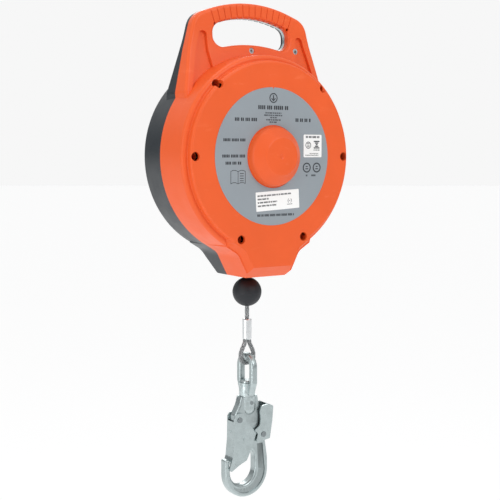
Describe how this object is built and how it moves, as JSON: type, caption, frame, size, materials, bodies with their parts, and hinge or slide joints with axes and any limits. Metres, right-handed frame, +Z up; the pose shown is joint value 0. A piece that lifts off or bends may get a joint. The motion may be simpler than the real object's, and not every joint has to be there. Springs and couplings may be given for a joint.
{
  "type": "self retracting lifeline",
  "caption": "Round two-shell fall arrest block with a carrying handle, a wire rope on a spring drum, a ball stop and a swivel snap hook with a double-action gate.",
  "frame": {"origin": "underside of the handle's top bar at mid thickness, where the anchor connector bears", "axes": "+X across the block to the right seen from the front cover, +Y from the front cover to the rear cover, +Z up along the hanging direction"},
  "size_m": [0.209, 0.107, 0.5226],
  "materials": {
    "orange_shell": "satin moulded plastic",
    "black_shell": "satin moulded plastic",
    "label_film": "satin printed film",
    "sticker": "satin film",
    "zinc_steel": "zinc plated",
    "forged_steel": "zinc plated forging, satin",
    "sheet_steel": "zinc plated sheet",
    "screw_steel": "zinc plated",
    "insert_brass": "machined",
    "guide_plastic": "smooth",
    "ball_rubber": "satin",
    "wire_rope": "galvanised strands",
    "ferrule_metal": "swaged",
    "drum_aluminium": "cast and turned",
    "spring_steel": "polished strip and wire",
    "hard_steel": "hardened",
    "friction_lining": "dull"
  },
  "bodies": {
    "housing": {"front_cover": "orange_shell", "rear_cover": "black_shell", "cover_screws": "screw_steel", "threaded_inserts": "insert_brass", "hanger_clamp_screws": "screw_steel", "rating_label": "label_film", "serial_sticker": "sticker", "approval_sticker": "sticker", "cable_guide": "guide_plastic", "hanger_plate": "zinc_steel", "front_frame_plate": "zinc_steel", "rear_frame_plate": "zinc_steel", "tie_bars": "zinc_steel", "main_shaft": "zinc_steel", "shaft_nuts": "zinc_steel", "spring_arbor": "zinc_steel", "pressure_plate": "zinc_steel", "backing_plate": "zinc_steel", "brake_bolts": "screw_steel", "disc_springs": "spring_steel", "front_lining": "friction_lining", "rear_lining": "friction_lining", "rope_inner_run": "wire_rope"},
    "brake_ring": {"ratchet_ring": "hard_steel"},
    "drum": {"drum": "drum_aluminium", "front_bearing": "insert_brass", "rear_bearing": "insert_brass", "wound_rope": "wire_rope", "rope_end_clamp": "ferrule_metal", "drum_screws": "screw_steel", "spring_case": "drum_aluminium", "spring_case_lid": "drum_aluminium", "mainspring": "spring_steel", "pawl_carrier": "hard_steel", "pawl_pins": "hard_steel", "pawl_spring_1": "spring_steel", "pawl_spring_2": "spring_steel"},
    "pawl_1": {"pawl_1": "hard_steel"},
    "pawl_2": {"pawl_2": "hard_steel"},
    "line_end": {"ball_stop": "ball_rubber", "stop_sleeve": "ferrule_metal", "rope_lower_run": "wire_rope", "ferrule": "ferrule_metal", "rope_eye": "wire_rope", "thimble": "ferrule_metal"},
    "swivel_eye": {"swivel_eye": "forged_steel"},
    "hook": {"swivel_stud": "zinc_steel", "swivel_washer": "zinc_steel", "hook_body": "forged_steel", "cross_pin": "zinc_steel", "gate_rivet": "zinc_steel", "lever_rivet": "zinc_steel", "gate_spring": "spring_steel", "lever_spring": "spring_steel"},
    "gate": {"gate": "sheet_steel"},
    "lock_lever": {"lock_lever": "sheet_steel"}
  },
  "joints": [
    {"name": "line_payout", "type": "slide", "parent": "housing", "child": "line_end", "axis": [0, 0, -1], "range_m": [0, 0.96], "stiffness_N_per_m": 2.5, "springref_m": -8, "deforming": ["rope_lower_run"]},
    {"name": "drum_spin", "type": "hinge", "parent": "housing", "child": "drum", "pos_m": [0, 0, -0.143], "axis": [0, 1, 0], "range_deg": [0, 720], "deforming": ["mainspring"]},
    {"name": "pawl_1_swing", "type": "hinge", "parent": "drum", "child": "pawl_1", "pos_m": [0, 0.0213, -0.105], "axis": [0, -1, 0], "range_deg": [0, 18], "stiffness_Nm_per_rad": 0.03, "springref_deg": -22.92, "deforming": ["pawl_spring_1"]},
    {"name": "pawl_2_swing", "type": "hinge", "parent": "drum", "child": "pawl_2", "pos_m": [0, 0.0213, -0.181], "axis": [0, -1, 0], "range_deg": [0, 18], "stiffness_Nm_per_rad": 0.03, "springref_deg": -22.92, "deforming": ["pawl_spring_2"]},
    {"name": "brake_slip", "type": "hinge", "parent": "housing", "child": "brake_ring", "pos_m": [0, 0.025, -0.143], "axis": [0, 1, 0], "continuous": true},
    {"name": "eye_swing", "type": "hinge", "parent": "line_end", "child": "swivel_eye", "pos_m": [0, 0, -0.3548], "axis": [0, 1, 0], "range_deg": [-60, 60]},
    {"name": "hook_swivel", "type": "hinge", "parent": "swivel_eye", "child": "hook", "pos_m": [0, 0, -0.3974], "axis": [0, 0, 1], "continuous": true},
    {"name": "lock_lever", "type": "hinge", "parent": "hook", "child": "lock_lever", "pos_m": [0.0153, 0, -0.441], "axis": [0, -1, 0], "range_deg": [0, 8], "stiffness_Nm_per_rad": 2, "springref_deg": -11.46, "deforming": ["lever_spring"]},
    {"name": "gate_swing", "type": "hinge", "parent": "hook", "child": "gate", "pos_m": [-0.0138, 0, -0.422], "axis": [0, -1, 0], "range_deg": [0, 22], "stiffness_Nm_per_rad": 0.2, "springref_deg": -22.92, "deforming": ["gate_spring"]}
  ],
  "couplings": [
    {"joint": "drum_spin", "follows": "line_payout", "rad_per_m": 13.089},
    {"joint": "gate_swing", "follows": "lock_lever", "ratio": 2.75}
  ]
}
